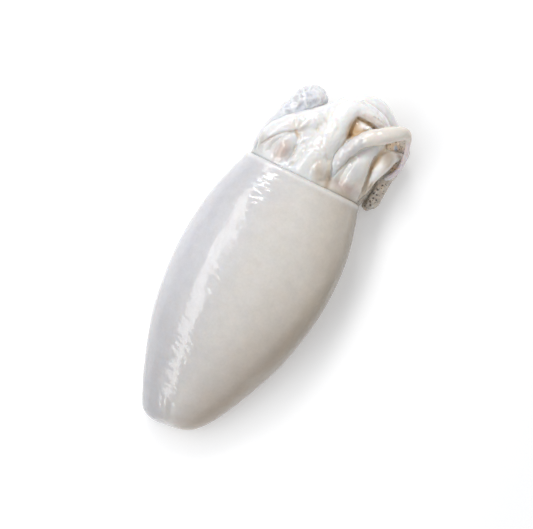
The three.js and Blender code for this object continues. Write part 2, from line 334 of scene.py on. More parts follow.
def paint(piece, colours, dots=0.0):
    """Gives every mesh point of a piece its own colour, and how strongly dark dots show in it."""
    layer = piece.data.color_attributes.new("flesh_tint", "FLOAT_COLOR", "POINT")
    dots = np.broadcast_to(dots, len(colours))[:, None]
    layer.data.foreach_set("color", np.clip(np.hstack([colours, dots]), 0, 1).ravel())


def tint(colours, colour, share):
    """Colours pulled towards another one by a share for each point."""
    share = np.clip(share, 0, 1)[:, None]
    return colours * (1 - share) + np.array(colour) * share


def coloured(places, base, tints):
    """A base colour for every point, with tints laid over it one after another."""
    colours = np.tile(base, (len(places), 1))
    for colour, share in tints:
        colours = tint(colours, colour, share)
    return colours


# The skinned flesh is cream, greyer and bluer along the left side. The right half is tinted warm tan,
# partly its tone and partly painted shade, and its flank and outline are darkened as painted shade, as is
# the tail.
# Along runs from 0 at the tail to 1 at the rim, and side from -1 on the left to 1 on the right.
cream, cool_grey, warm_tan_and_shade = (0.69, 0.66, 0.62), (0.57, 0.57, 0.60), (0.62, 0.53, 0.42)
flank_shade_tan, tail_shade_grey, pale_lip = (0.38, 0.30, 0.21), (0.52, 0.50, 0.49), (0.78, 0.77, 0.76)
outline_shade, tail_shade_tan, tail_shade_blue = (0.22, 0.17, 0.11), (0.45, 0.37, 0.29), (0.42, 0.42, 0.44)
places, normals = corners_of(body)
spots = seen(places)
along = places[:, 1] / body_length + 0.5
share = np.interp(along, outline_along, outline_share)
middle = tail_bend * (0.5**bend_power - np.maximum(0, 1 - along)**bend_power)
side = (places[:, 0] - middle) / (body_width / 2 * np.maximum(share, 0.05))
cloudy = mottle(places, (14, 20, 14), 1.7)
left_half = np.clip(-side * 1.2 + 0.05 + 0.15 * cloudy, 0, 1)
right_half = np.clip(side * 1.35 - 0.25 + 0.2 * cloudy, 0, 1)
shaded_right_flank = np.clip(side * 4.5 - 2.3 - 1.6 * along + 0.2 * cloudy, 0, 1)
shaded_right_outline = np.clip(side * 8 - 6.9, 0, 1)
tail = np.clip(0.75 - along * 1.3, 0, 1)
tail_right = np.clip(side * 1.2, 0, 1) * np.clip(0.9 - along * 1.3, 0, 1)
tail_left = np.clip(-side * 1.2 - 0.1, 0, 1) * np.clip(0.9 - along * 1.5, 0, 1)
paint(body, coloured(places, cream, [
    (cool_grey, left_half * 0.95),
    # Painted shade on the right: warm tan over the right half, partly the flesh's tone, darker at flank and
    # outline.
    (warm_tan_and_shade, right_half * 0.7),
    (flank_shade_tan, shaded_right_flank * 0.75),
    (outline_shade, shaded_right_outline * 0.7),
    # Painted shade towards the tail: grey in the middle, tan on the right and bluish grey on the left.
    (tail_shade_grey, tail * 0.75),
    (tail_shade_tan, tail_right * 0.9),
    (tail_shade_blue, tail_left),
    (pale_lip, bead * 0.7),
]))


class Mix:
    """A material's nodes, added one by one and joined up as they are named."""

    def __init__(self, name):
        self.material = bpy.data.materials.new(name)
        self.material.use_nodes = True
        self.tree = self.material.node_tree
        self.skin = self.tree.nodes["Principled BSDF"]

    def add(self, kind, settings=None, **inputs):
        """A node with its settings and inputs; an input is a number, a colour or another node's output."""
        node = self.tree.nodes.new(kind)
        for key, value in (settings or {}).items():
            setattr(node, key, value)
        for key, value in inputs.items():
            self.give(node, key.replace("_", " "), value)
        return node

    def give(self, node, socket, value):
        """Sets or joins up one input, which has a name, or a number written as n0, n1 and so on."""
        numbered = socket[0] == "n" and socket[1:].isdigit()
        socket = node.inputs[int(socket[1:]) if numbered else socket]
        if isinstance(value, bpy.types.NodeSocket):
            self.tree.links.new(value, socket)
        else:
            socket.default_value = value


speck_size, cloud_size, dot_spacing = 1.6 * mm, 6 * mm, 1.3 * mm
dot_edge, dot_middle, dot_colour = 0.34, 0.14, (0.05, 0.03, 0.025, 1)
flesh_bending, flesh_clearness, flesh_soak_colours = 1.4, 0.7, (1, 0.7, 0.5)


def wet_flesh(name, roughness, wetness, film, ripple, grain, shine=1.5, blotch=0.05, soak=2.5 * mm):
    """Raw flesh: painted colour with fine mottling, light soaking in, and a wet film over uneven skin."""
    mix = Mix(name)
    place = mix.add("ShaderNodeTexCoord").outputs["Object"]
    painted = mix.add("ShaderNodeAttribute", {"attribute_name": "flesh_tint"})
    speck = mix.add("ShaderNodeTexNoise", Vector=place, Scale=1 / speck_size, Detail=4.0, Roughness=0.6)
    cloud = mix.add("ShaderNodeTexNoise", Vector=place, Scale=1 / cloud_size, Detail=3.0)
    both = mix.add("ShaderNodeMath", {"operation": "ADD"}, n0=speck.outputs["Fac"], n1=cloud.outputs["Fac"])
    level = mix.add("ShaderNodeMapRange", Value=both.outputs[0], From_Min=0.7, From_Max=1.3,
                    To_Min=1 - blotch, To_Max=1 + blotch)
    mottled = mix.add("ShaderNodeVectorMath", {"operation": "SCALE"}, n0=painted.outputs["Color"],
                      Scale=level.outputs[0])
    cells = mix.add("ShaderNodeTexVoronoi", Vector=place, Scale=1 / dot_spacing, Randomness=1.0)
    spot = mix.add("ShaderNodeMapRange", Value=cells.outputs["Distance"], From_Min=dot_edge,
                   From_Max=dot_middle, To_Min=0.0, To_Max=1.0)
    dotted = mix.add("ShaderNodeMath", {"operation": "MULTIPLY"}, n0=spot.outputs[0],
                     n1=painted.outputs["Alpha"])
    colour = mix.add("ShaderNodeMix", {"data_type": "RGBA"}, n0=dotted.outputs[0], n6=mottled.outputs[0],
                     n7=dot_colour)
    stretched = mix.add("ShaderNodeMapping", Vector=place, Rotation=(0, 0, ripple["turn"]),
                        Scale=tuple(1 / size for size in ripple["size"]))
    waves = mix.add("ShaderNodeTexNoise", Vector=stretched.outputs[0], Scale=1.0, Detail=0.0, Roughness=0.5,
                    Distortion=0.5)
    grains = mix.add("ShaderNodeTexNoise", Vector=place, Scale=1 / grain["size"], Detail=3.0, Roughness=0.6)
    wavy = mix.add("ShaderNodeBump", Height=waves.outputs["Fac"], Strength=1.0, Distance=ripple["height"])
    rough = mix.add("ShaderNodeBump", Height=grains.outputs["Fac"], Strength=1.0, Distance=grain["height"])
    skin = mix.skin
    mix.give(skin, "Base Color", colour.outputs[2])
    mix.give(skin, "Normal", rough.outputs[0])
    mix.give(skin, "Coat Normal", wavy.outputs[0])
    mix.give(skin, "Roughness", roughness)
    mix.give(skin, "IOR", flesh_bending)
    mix.give(skin, "Coat Weight", wetness)
    mix.give(skin, "Coat Roughness", film)
    mix.give(skin, "Coat IOR", shine)
    mix.give(skin, "Subsurface Weight", flesh_clearness)
    mix.give(skin, "Subsurface Radius", flesh_soak_colours)
    mix.give(skin, "Subsurface Scale", soak)
    return mix.material


body.data.materials.append(wet_flesh(
    "body flesh", roughness=0.45, wetness=1.0, film=0.13,
    ripple={"size": (6.4 * mm, 3.0 * mm, 6.4 * mm), "turn": radians(25), "height": 0.42 * mm},
    grain={"size": 1.0 * mm, "height": 0.04 * mm}))

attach(body, "root")
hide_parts("body_tube")


# THE BUNCH OF LIMBS. The head's front and most of the limbs, thick and soft, pressed into one another
# where they leave the mouth. Each is drawn as a rope of flesh along its own path, and all are melted into
# one wrinkled skin. Each stop on a path is [across, out from the rim, up, half thickness] in millimetres.
bunch_limbs = {
    "left_diagonal": [
        [-22.8, -14.5, 20, 5.4], [-27.6, 4.9, 23.6, 5.1], [-26.0, 13.9, 26, 6.0], [-20.9, 20.4, 27.2, 6.8],
        [-13.4, 26.5, 27.8, 7.2], [-5.2, 33.3, 27.4, 7.4], [1.2, 40.4, 26, 6.6], [6.9, 46.2, 23, 5.3],
        [13.6, 47.2, 20, 4.5], [19.0, 43.5, 16.6, 3.1]],
    "left_bulge": [
        [-14.2, -14.5, 20, 6.8], [-17.4, 3.8, 25.4, 6.7], [-16.8, 10.4, 27, 6.4], [-15.1, 16, 27.4, 5.9],
        [-11.2, 20.5, 26.4, 5.6], [-5.1, 23.6, 23, 4.2]],
    "central": [
        [-1.2, -14.5, 20, 10.7], [-0.9, 3.8, 25.6, 12.1], [0.5, 13.7, 27.6, 10.9], [3.1, 24.8, 29.2, 9.2],
        [4.7, 35.3, 30.4, 7.8], [6.4, 42.5, 30.4, 6.7], [9.5, 46.9, 30, 5.6], [14, 47.9, 29.4, 4.8],
        [19.6, 47.6, 28.4, 4.6], [25.3, 45.9, 26.5, 4.4], [31, 42.5, 23.5, 3.6]],
    "top_loop": [
        [-4, -14.2, 14, 6.8], [-3.5, 9, 15, 7.7], [-0.6, 28.2, 16.6, 7.9], [3.4, 42.6, 19, 7.3],
        [7.9, 49.5, 21, 6.2], [13.5, 52.7, 22, 5.4], [20.3, 53.1, 21.4, 5.2], [27.1, 50.3, 19, 4.9],
        [33.4, 45.8, 15.6, 4.5], [38.1, 40, 12, 4], [38.8, 32.8, 9, 3]],
    "right_bulge": [
        [23.2, -14.5, 16, 8.0], [24.2, -0.5, 19, 9.4], [24.1, 7.2, 23, 9.3], [24.3, 13.8, 26.5, 8.2],
        [24.9, 19.3, 27.6, 6.8], [26.0, 24.8, 27, 5.4], [27.4, 29.2, 25.4, 4.6], [28.5, 33.8, 23.5, 4.0],
        [27.5, 38.6, 21, 3.4], [23.1, 41.2, 19, 3.0]],
    "right_fold": [
        [31.8, -13.7, 14, 4.0], [34.2, -1.3, 18, 2.8], [34.2, 4.3, 20, 2.7], [34.2, 9.8, 21.6, 2.7],
        [34.4, 14.8, 23, 3.0], [35.2, 19.8, 24, 3.8], [36.6, 24.8, 24.6, 4.5], [38.3, 29.5, 24, 4.3],
        [40.9, 32.8, 21, 3.4], [43.2, 34.8, 18.6, 2.4]],
    "tentacle_bed": [
        [14.8, -13.9, 18, 6.0], [14.2, 2.7, 24.6, 6.4], [13.8, 10.8, 27, 6.6], [14.4, 19.7, 28.2, 6.6],
        [17.9, 28.6, 28.4, 5.6], [21.8, 33.6, 29, 5.0]],
    "underside": [
        [-10.9, -14.1, 11, 5.7], [-16.1, 6.6, 8, 6.5], [-16.7, 20.4, 7, 6.7], [-11, 33.1, 6.4, 6.3],
        [-0.1, 40.5, 6.4, 5.7], [11.4, 44, 6.6, 5.1], [21.1, 41.6, 6.8, 4.3], [26.9, 34.8, 6, 3]],
}
# Each bulge of the head is its place and its half sizes.
head_bulges = [
    ((7, 13, 14.6), (26, 31, 12.6)),
    ((-23.6, 8, 18), (7.6, 15, 8.4)),
    ((0, -8, 17), (29, 16, 14)),
    ((-7, 22, 21), (14, 17, 13)),
    ((3, 4, 22), (15, 12, 15.5)),
    ((4.8, 6.5, 25), (9.6, 12, 14.2)),
    ((27, 6, 16), (10, 22, 12)),
    ((-14, 8, 20), (7, 12, 12)),
    ((0, -3, 17.4), (37, 15, 19.6)),
    ((15.5, 37.5, 22), (9, 8, 10)),
    ((20.3, 39.5, 28), (4.4, 1.8, 5.5)),
    ((36.4, 32.6, 20), (2.3, 2.8, 4.4)),
    ((31.8, 27, 18), (4.5, 12, 8)),
]
bunch_grain, bunch_softness = 0.5 * mm, 10
stump_depth = 10 * mm
rope_sides, rope_steps = 8, 10
# A limb's tip is rounded by stops this far beyond its last one and this thick, as shares of its half
# thickness.
tip_rounding = [(0.6, 0.8), (0.9, 0.45), (1, 0.1)]


def from_rim(across, out, up):
    """A place from millimetres across from the rim's middle, out from the rim and up from the table."""
    return Vector((rim_x + across * mm, rim_y + out * mm, up * mm))


def flesh_rope(name, route):
    """A round limb along a route of [across, out, up, half thickness], its tip rounded."""
    points = [(from_rim(*stop[:3]), stop[3]) for stop in route]
    heading = (points[-1][0] - points[-2][0]).normalized()
    last, half = points[-1]
    points += [(last + heading * half * reach * mm, half * share) for reach, share in tip_rounding]
    bpy.ops.object.select_all(action="DESELECT")
    bpy.ops.curve.primitive_bezier_curve_add()
    rope = bpy.context.object
    rope.data.bevel_depth = mm
    rope.data.bevel_resolution = rope_sides
    rope.data.resolution_u = rope_steps
    rope.data.use_fill_caps = True
    spline = rope.data.splines[0]
    spline.radius_interpolation = "CARDINAL"
    spline.bezier_points.add(len(points) - len(spline.bezier_points))
    for stop, (spot, thick) in zip(spline.bezier_points, points):
        stop.co = spot
        stop.radius = thick
        stop.handle_left_type = stop.handle_right_type = "AUTO"
    bpy.ops.object.convert(target="MESH")
    rope = bpy.context.object
    rope.name = name
    return rope


def melt(pieces, name, grain, softness):
    """Several pieces of flesh grown into one closed skin with soft joins."""
    bpy.ops.object.select_all(action="DESELECT")
    for piece in pieces:
        piece.select_set(True)
    bpy.context.view_layer.objects.active = pieces[0]
    if len(pieces) > 1:
        bpy.ops.object.join()
    whole = bpy.context.object
    whole.name = name
    whole.data.materials.clear()
    melting = whole.modifiers.new("melting", "REMESH")
    melting.mode = "VOXEL"
    melting.voxel_size = grain
    bpy.ops.object.modifier_apply(modifier=melting.name)
    softening = whole.modifiers.new("softening", "SMOOTH")
    softening.factor = 0.5
    softening.iterations = softness
    bpy.ops.object.modifier_apply(modifier=softening.name)
    return whole


ropes = [flesh_rope(name, route) for name, route in bunch_limbs.items()]
for spot, half_size in head_bulges:
    bpy.ops.object.select_all(action="DESELECT")
    bpy.ops.mesh.primitive_uv_sphere_add(segments=48, ring_count=24, radius=1, location=from_rim(*spot),
                                         scale=Vector(half_size) * mm)
    bpy.ops.object.transform_apply(location=True, scale=True)
    ropes.append(bpy.context.object)
bunch = melt(ropes, "limb_bunch", bunch_grain, bunch_softness)
bpy.ops.object.mode_set(mode="EDIT")
bpy.ops.mesh.select_all(action="SELECT")
bpy.ops.mesh.bisect(plane_co=(0, rim_y - stump_depth, 0), plane_no=(0, 1, 0), use_fill=True,
                    clear_inner=True)
bpy.ops.object.mode_set(mode="OBJECT")
bpy.ops.object.shade_smooth()


# Inside the mouth the limbs may fill it up to its wall and a hair into it. Outside they find room again:
# how far ahead of the rim, in millimetres, and how much of the rim's section they may fill there.
wall_overlap, lip_line, squeeze_hardness = 0.1 * mm, -0.5, 12
room_ahead, room_outside = [0, 0.2, 3, 14], [0.95, 0.985, 1.02, 1.3]
free_ahead, freeing = 14, 8


def squeeze_into_mouth(places):
    """The mouth's wall squeezes what is inside it, and lets it swell again just outside the lip."""
    ahead = (places[:, 1] - rim_y - rim_lean * (rim_z - places[:, 2]) / body_height) / mm
    wall = np.array([wall_at(max(0, -d) * mm) for d in ahead])
    room = 1 - (wall - wall_overlap) / rim_back
    outside_room = np.interp(ahead, [lip_line] + room_ahead, [room.max()] + room_outside)
    room = np.where(ahead > lip_line, outside_room, room)
    above = places[:, 2] > rim_z
    across = (places[:, 0] - rim_x) / rim_half_width
    up = (places[:, 2] - rim_z) / np.where(above, rim_back, rim_belly)
    part = np.maximum(np.hypot(across, up), 1e-6)
    kept = (1 + (part / room)**squeeze_hardness)**(-1 / squeeze_hardness)
    kept = 1 + (kept - 1) * np.clip((free_ahead - ahead) / freeing, 0, 1)
    squeezed = places.copy()
    squeezed[:, 0] = rim_x + (places[:, 0] - rim_x) * kept
    squeezed[:, 2] = rim_z + (places[:, 2] - rim_z) * kept
    squeezed[:, 2] = np.maximum(squeezed[:, 2], 0.0)
    return squeezed


def set_in_mouth(piece):
    """Squeezes a piece into the mouth, and gives its points, their normals and their spots in the view."""
    places, normals = corners_of(piece)
    move_corners(piece, squeeze_into_mouth(places))
    places, normals = corners_of(piece)
    return places, normals, seen(places)


def push_out(piece, places, normals, push):
    """Moves each point of a piece out along its normal by some millimetres, but not down into the table."""
    places = places + normals * (push * mm)[:, None]
    places[:, 2] = np.maximum(places[:, 2], 0)
    move_corners(piece, places)
    return places


def soften(piece, values, steps):
    """Values spread over the mesh, each step averaging a point with its neighbours."""
    ends = np.empty(len(piece.data.edges) * 2, dtype=np.int64)
    piece.data.edges.foreach_get("vertices", ends)
    a, b = ends.reshape(-1, 2).T
    count = len(piece.data.vertices)
    near = np.bincount(a, minlength=count) + np.bincount(b, minlength=count)
    values = values.reshape(count, -1)
    for _ in range(steps):
        total = np.stack([np.bincount(a, column[b], count) + np.bincount(b, column[a], count)
                          for column in values.T], axis=1)
        values = 0.5 * values + 0.5 * total / near[:, None]
    return values


def hollows(piece, steps):
    """How far each point lies below (above if negative) the smoothed skin round it, in metres."""
    places, normals = corners_of(piece)
    return ((soften(piece, places, steps) - places) * normals).sum(axis=1)


# The folds, wrinkles and bumps are worked into the skin stroke by stroke: a path, its width and height in
# millimetres, and how sharp its foot is.
bunch_strokes = [
    # the crease under the left arm, and the pit where its folds meet
    ([(-26.5, 7.3), (-24.2, 10.7), (-20.8, 15.2), (-17.5, 18.6), (-14.1, 20.8), (-11.3, 22.0)],
     1.6, -0.8, 1.2),
    ([(-24.8, 13.5), (-20.8, 18.0), (-16.9, 20.8), (-13.5, 23.1)], 3.0, 0.3, 1.0),
    ([(-14.6, 19.7), (-11.8, 21.4), (-9.6, 20.3), (-7.9, 18.6)], 2.4, -0.8, 1.2),
    ([(-12.4, 22.0), (-14.1, 25.9), (-15.8, 29.9)], 1.9, -0.35, 1.0),
    ([(-11.8, 22.5), (-11.3, 26.5), (-9.6, 30.4)], 1.8, -0.3, 1.0),
    ([(-11.3, 22.0), (-8.5, 25.4), (-5.6, 27.6)], 2.0, -0.35, 1.0),
    ([(-13.0, 22.0), (-16.9, 22.0), (-20.3, 20.3)], 1.6, -0.3, 1.0),
    ([(-14.1, 29.3), (-13.0, 25.9), (-12.4, 23.7)], 1.7, 0.3, 1.0),
    ([(-7.9, 30.4), (-9.6, 26.5), (-10.7, 23.7)], 1.8, 0.3, 1.0),
    ([(-8.5, 15.8), (-6.8, 18.6), (-4.5, 20.8)], 2.0, 0.6, 1.0),
    ([(-17.5, 11.8), (-15.8, 14.6), (-13.5, 17.5)], 2.2, 0.5, 1.0),
    # the oval bulge under it and its shiny lower edge
    ([(-16.9, 14.1), (-18.0, 9.6), (-17.5, 3.9)], 1.6, -0.25, 1.0),
    ([(-13.5, 13.0), (-13.5, 8.5), (-14.6, 3.9)], 4.2, 0.6, 1.0),
    ([(-8.5, 14.1), (-7.9, 10.1), (-9.6, 6.2), (-13.0, 1.7)], 1.6, -0.6, 1.2),
    ([(-14.1, 1.7), (-11.3, 3.9), (-9.6, 7.3)], 1.3, 0.5, 1.0),
    # the ridge between the oval and the middle dome
    ([(-7.9, 20.8), (-6.2, 15.8), (-6.2, 10.1), (-7.9, 4.5)], 2.4, 0.6, 1.0),
    ([(-3.4, 16.3), (-3.9, 10.7), (-5.6, 4.5), (-7.3, 0.6)], 2.0, -0.8, 1.1),
    # creases curving round the middle dome
    ([(-3.9, 14.6), (-0.6, 18.6), (3.9, 19.7), (8.5, 18.6), (11.8, 14.6)], 2.0, -0.5, 1.0),
    ([(-2.3, 13.0), (0.6, 16.1), (4.5, 16.9), (9.0, 15.2)], 1.2, -0.3, 1.0),
    ([(-2.8, 17.5), (1.1, 21.4), (5.6, 22.5)], 1.6, -0.3, 1.0),
    # the grooves each side of the long tentacle, meeting below its root
    ([(15.8, 32.7), (15.8, 28.2), (15.2, 24.2), (13.5, 20.3)], 1.4, -0.2, 1.0),
    ([(12.4, 20.3), (13.0, 14.6), (14.6, 9.6), (16.3, 5.1)], 1.8, 0.5, 1.0),
    ([(23.1, 23.1), (21.4, 19.7), (20.3, 15.8), (18.6, 11.8), (17.5, 7.9)], 1.6, -0.5, 1.0),
    # the wall of the hollow under the loop
    ([(15.8, 42.8), (15.8, 38.3), (16.3, 33.2)], 1.4, -0.8, 1.3),
    # dimples and folds on the wrinkled mass in the middle
    ([(-2.8, 37.2), (0.0, 34.9), (2.3, 31.6)], 1.7, -0.35, 1.0),
    ([(1.7, 39.4), (3.9, 35.5), (5.1, 31.0)], 1.6, -0.3, 1.0),
    ([(-6.2, 33.8), (-2.8, 31.0), (-1.1, 27.0)], 1.7, -0.35, 1.0),
    ([(7.3, 37.2), (8.5, 32.7), (7.9, 27.6)], 1.6, -0.25, 1.0),
    ([(0.0, 27.0), (3.4, 24.2), (4.5, 20.8)], 1.8, -0.35, 1.0),
    ([(-8.5, 33.8), (-6.8, 31.0), (-7.3, 27.6)], 1.6, -0.3, 1.0),
    # the loop over the top: its seam, its row of suckers and the fold under them
    ([(10.7, 51.8), (15.2, 53.0), (18.6, 53.0), (24.8, 51.8), (27.6, 50.1), (33.2, 46.8)], 1.5, -0.8, 1.1),
    ([(15.8, 43.9), (20.8, 43.9), (25.4, 43.9), (29.3, 42.8)], 1.2, -1.0, 1.3),
    # the right bulge's right edge
    ([(34.9, 28.2), (34.9, 22.5), (35.5, 18.0), (36.6, 11.8), (37.2, 6.2), (37.2, -1.1)], 1.6, -1.2, 1.3),
    # the loose skin folds at the right
    ([(37.7, 13.5), (38.3, 9.0), (38.3, 4.5), (38.3, -1.1)], 0.9, -0.9, 1.2),
    ([(39.4, 13.5), (39.4, 9.0), (39.4, 4.5), (39.4, -1.1)], 0.9, -0.9, 1.2),
]
# Small bumps and dimples: each a place, its half sizes, its height and its turn.
bunch_dabs = [
    ((23.7, 41.1), (3.4, 1.6), 0.6, 0.4), ((0.6, 46.8), (2.4, 2.0), 0.5, 0.3),
    ((-1.7, 38.9), (2.0, 1.6), 0.4, 0.6), ((4.5, 37.7), (1.8, 2.2), 0.4, 0.2),
    ((6.8, 33.2), (1.7, 2.0), 0.3, 0.0), ((0.6, 32.7), (1.6, 1.8), 0.4, 0.5),
    ((-3.9, 33.8), (1.6, 1.8), 0.4, 0.8), ((3.4, 28.2), (1.8, 1.8), 0.3, 0.0),
    ((-10.7, 30.4), (1.6, 2.0), 0.4, 0.5), ((25.9, 23.7), (1.4, 1.6), 0.6, 0.2),
    ((23.1, 18.0), (1.5, 2.1), 0.6, 0.2), ((36.6, 20.8), (1.5, 1.3), 0.6, 0.2),
    ((-15.8, 1.7), (1.5, 1.2), 0.6, 0.2), ((21.4, 11.3), (1.4, 1.6), 0.2, 0.2),
]
lowest_worked, even_ahead_of_rim = 8 * mm, 3
wrinkled_place, wrinkled_size = (-6.2, 32.7), (17, 17)
bulge_path = [(30.4, 28.2), (28.2, 19.2), (27.6, 9.0), (27.6, 1.1)]
dome_place, dome_size = (5.1, 7.9), (11, 11)
sucker_path, sucker_size, sucker_height = [(16.3, 47.3), (23.1, 48.5), (28.7, 47.3), (32.1, 45.1)], 1.1, 0.8
places, normals, spots = set_in_mouth(bunch)
top = np.clip(normals[:, 2] * 2.2 + 0.1, 0, 1) * (places[:, 2] > lowest_worked)
push = np.zeros(len(places))
for path, wide, height, sharp in bunch_strokes:
    push += stroke(spots, path, wide, sharp) * height
for place, size, height, turn in bunch_dabs:
    push += dab(spots, place, size, turn) * height
left_wrinkles = dab(spots, wrinkled_place, wrinkled_size)
push += left_wrinkles * (0.3 * mottle(places, (4.2, 4.6, 4.2), 2.1)
                         + 0.2 * mottle(places, (2.2, 2.4, 2.2), 5.1))
unevenness = 1 - 0.7 * stroke(spots, bulge_path, 8, 0.6, 0.0)
unevenness *= 1 - 0.8 * np.clip(2 * dab(spots, dome_place, dome_size), 0, 1)
push += unevenness * (0.3 * mottle(places, (4, 5, 4), 9.1)
                      + 0.14 * mottle(places, (1.8, 2.2, 1.8), 4.4))
suckered = stroke(spots, sucker_path, 3.6, 0.5)
push += suckered * sucker_height * np.maximum(0, mottle(places, (sucker_size,) * 3, 6.0))
ahead = (places[:, 1] - rim_y) / mm
push_out(bunch, places, normals, push * top * np.clip(ahead / even_ahead_of_rim, 0, 1))

# The flesh is pearly on the left and ivory to cream on the right. It is whiter far out as painted light,
# and cream to tan in its hollows and underneath as painted shade.
pearl, ivory, warm_cream = (0.73, 0.73, 0.735), (0.79, 0.765, 0.71), (0.77, 0.70, 0.60)
tan, cavity_shade_tan, brown, pink = (0.72, 0.52, 0.3), (0.58, 0.36, 0.15), (0.34, 0.22, 0.12), (0.60, 0.50, 0.45)
blue_grey_shade, glass_grey, painted_light_white = (0.55, 0.56, 0.6), (0.58, 0.59, 0.61), (0.92, 0.92, 0.92)
dull_tan, grey_green = (0.60, 0.50, 0.39), (0.52, 0.52, 0.49)
fine_reach, broad_reach = 4, 40
fine, broad = hollows(bunch, fine_reach) / mm, hollows(bunch, broad_reach) / mm
places, normals = corners_of(bunch)
spots = seen(places)
side = (places[:, 0] - rim_x) / mm
cloudy = mottle(places, (6, 8, 6), 1.2)
colours = coloured(places, pearl, [
    (ivory, np.clip(side / 30 + 0.45 + 0.4 * cloudy, 0, 1)),
    (warm_cream, np.clip(side / 30 - 0.45 + 0.4 * cloudy, 0, 1)),
    # painted light: whiter the further out
    (painted_light_white, np.clip(spots[:, 1] / 40 - 0.3, 0, 1)),
    # painted shade: cream to tan in the broad and fine hollows
    (warm_cream, np.clip(broad * 0.9, 0, 0.8)),
    (tan, np.clip(broad * 0.35 - 0.15, 0, 0.6)),
    (tan, np.clip(fine * 3.5 - 0.15, 0, 0.45) * np.clip(side / 40 + 0.6, 0, 1)),
])
# Each tint is a path, its width, its colour and its strength. Some are the flesh's own tones and rows of
# dots;
# most are painted shade in grooves, creases, hollows and crevices, and two white ones are painted light.
bunch_tints_and_shades = [
    # painted shade in the hollow under the loop
    ([(16.3, 42.8), (16.3, 38.3), (16.3, 33.2)], 4.5, cavity_shade_tan, 0.95),
    ([(17.5, 43.4), (23.1, 43.4), (28.7, 42.8)], 1.6, cavity_shade_tan, 0.8),
    ([(24.2, 38.3), (20.3, 36.1), (16.9, 33.2)], 4.5, cavity_shade_tan, 0.9),
    # painted shade in the grooves beside and below the long tentacle
    ([(15.8, 32.7), (15.2, 24.8), (13.5, 20.3)], 1.2, tan, 0.45),
    ([(12.4, 16.9), (13.0, 13.0), (14.6, 9.0), (16.3, 4.5)], 1.6, tan, 0.3),
    ([(14.6, 9.0), (16.3, 4.5), (17.5, -1.1)], 3.4, dull_tan, 1.0),
    ([(16.3, 6.8), (17.5, -1.1)], 2.0, brown, 0.35),
    ([(23.1, 23.1), (21.4, 19.7), (20.3, 15.8), (18.6, 11.8), (17.5, 7.3)], 1.4, tan, 0.5),
    # painted shade on the middle dome's lower right
    ([(7.3, 11.3), (10.7, 5.6), (13.0, -0.6)], 6.0, dull_tan, 0.7),
    # the pink of the crease under the left arm
    ([(-26.5, 7.3), (-24.2, 10.7), (-21.4, 14.1)], 1.8, pink, 0.8),
    # painted shade round the pit and in it
    ([(-16.3, 23.7), (-13.0, 25.4), (-8.5, 23.7)], 4.5, warm_cream, 0.5),
    ([(-12.4, 22.0), (-10.7, 20.8), (-10.1, 19.7)], 1.6, tan, 0.7),
    # the oval's pink
    ([(-14.1, 13.0), (-14.1, 8.5), (-15.2, 3.4)], 6.5, pink, 1.0),
    # painted shade in the crease beside the oval
    ([(-8.5, 11.3), (-8.5, 6.8), (-11.8, 2.3)], 1.4, blue_grey_shade, 0.4),
    # the right bulge's own pink, tan and glassy grey
    ([(20.8, 5.6), (27.6, 5.6), (33.8, 5.6)], 6.0, pink, 1.0),
    ([(20.8, 0.6), (29.3, 0.6), (35.5, 0.6)], 4.5, dull_tan, 0.8),
    ([(27.6, 21.4), (27.6, 16.3), (27.0, 10.1)], 7.5, glass_grey, 0.8),
    # painted light: whiter on the right bulge under the tentacle and on the right arm beside it
    ([(34.4, 32.1), (31.0, 28.7), (26.5, 24.8)], 6.5, painted_light_white, 1.3),
    ([(40.0, 24.8), (39.4, 20.3), (38.3, 15.8)], 3.6, painted_light_white, 0.8),
    # painted shade in the crease left of the right arm and in the folds at the right
    ([(37.7, 34.9), (36.6, 30.4), (36.1, 25.9), (35.5, 20.3)], 2.6, tan, 0.85),
    ([(36.6, 13.5), (37.7, 7.9), (38.9, 0.0)], 3.2, dull_tan, 0.9),
    ([(39.4, 14.6), (40.6, 7.9), (40.6, 0.0)], 1.6, brown, 0.4),
    # tan and brown round the right arm's tip, the crevice below it darkened as painted shade
    ([(38.9, 38.3), (42.3, 40.6), (46.8, 39.4)], 5.5, tan, 0.7),
    ([(38.9, 33.8), (41.7, 31.0), (43.9, 27.0)], 5.0, dull_tan, 0.7),
    ([(42.8, 36.1), (45.1, 36.1), (47.9, 33.8)], 2.6, brown, 0.6),
    ([(47.3, 29.9), (46.8, 27.0)], 2.6, tan, 0.9),
    ([(46.2, 25.4), (45.1, 22.5)], 1.8, brown, 0.25),
    # the sucker loop's pink and its rows of dark dots
    ([(18.0, 46.2), (23.1, 46.8), (29.9, 45.1)], 3.4, pink, 0.55),
    ([(23.7, 48.5), (26.5, 48.5), (30.4, 47.3)], 0.8, brown, 0.45),
    ([(18.0, 43.9), (23.1, 43.9), (28.7, 43.4)], 0.7, brown, 0.35),
    # the grey-green along the left edge near the rim
    ([(-28.7, 11.3), (-28.2, 5.1), (-27.6, -1.1)], 5.5, grey_green, 1.0),
]
for path, wide, colour, share in bunch_tints_and_shades:
    colours = tint(colours, colour, stroke(spots, path, wide, 0.8) * share * (normals[:, 2] > -0.2))
# Painted shade: skin facing down is tinted warm cream.
shaded_underneath = np.clip(-normals[:, 2] * 1.5, 0, 1)
colours = tint(colours, warm_cream, shaded_underneath * 0.6)
paint(bunch, colours)
limb_flesh = wet_flesh("limb flesh", roughness=0.36, wetness=1.0, film=0.1, shine=1.6, soak=4.5 * mm,
                       ripple={"size": (1.3 * mm, 1.7 * mm, 1.3 * mm), "turn": 0.0, "height": 0.15 * mm},
                       grain={"size": 0.7 * mm, "height": 0.04 * mm})
bunch.data.materials.append(limb_flesh)

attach(bunch, "root")
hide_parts("head_and_limbs")


